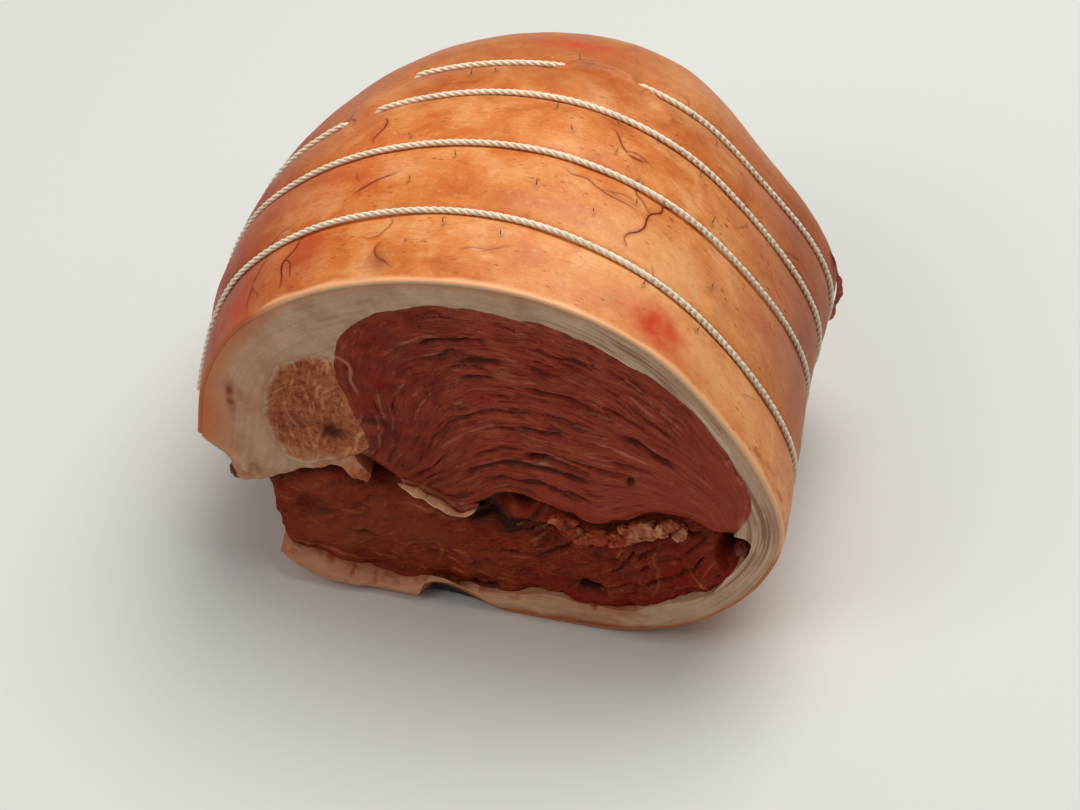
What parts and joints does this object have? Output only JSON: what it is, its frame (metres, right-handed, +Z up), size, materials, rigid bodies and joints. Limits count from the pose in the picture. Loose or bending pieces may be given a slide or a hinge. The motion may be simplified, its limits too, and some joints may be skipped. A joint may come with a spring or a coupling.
{
  "type": "raw boneless pork leg joint",
  "caption": "Raw boneless leg of pork, rolled and tied with twine: rind and fat round lean muscle, open at a wide cut face, standing on a flat base.",
  "frame": {"origin": "middle of the bounding box's underside, on the surface that the joint stands on", "axes": "+Z up; -Y out of the wide cut face; +X to the right of that face as seen from the front, with the seam low on the -X side"},
  "size_m": [0.1882, 0.1544, 0.1427],
  "materials": {
    "fat_and_rind": "satin, moist",
    "lean": "satin, moist",
    "lean_marbled": "satin, moist",
    "lean_dark": "satin, moist",
    "twine": "matt cotton"
  },
  "bodies": {
    "root": {"fat_and_rind": "fat_and_rind", "upper_muscle": "lean", "side_muscle": "lean_marbled", "lower_muscle": "lean_dark", "string_1": "twine", "string_2": "twine", "string_3": "twine", "string_4": "twine"}
  },
  "joints": []
}
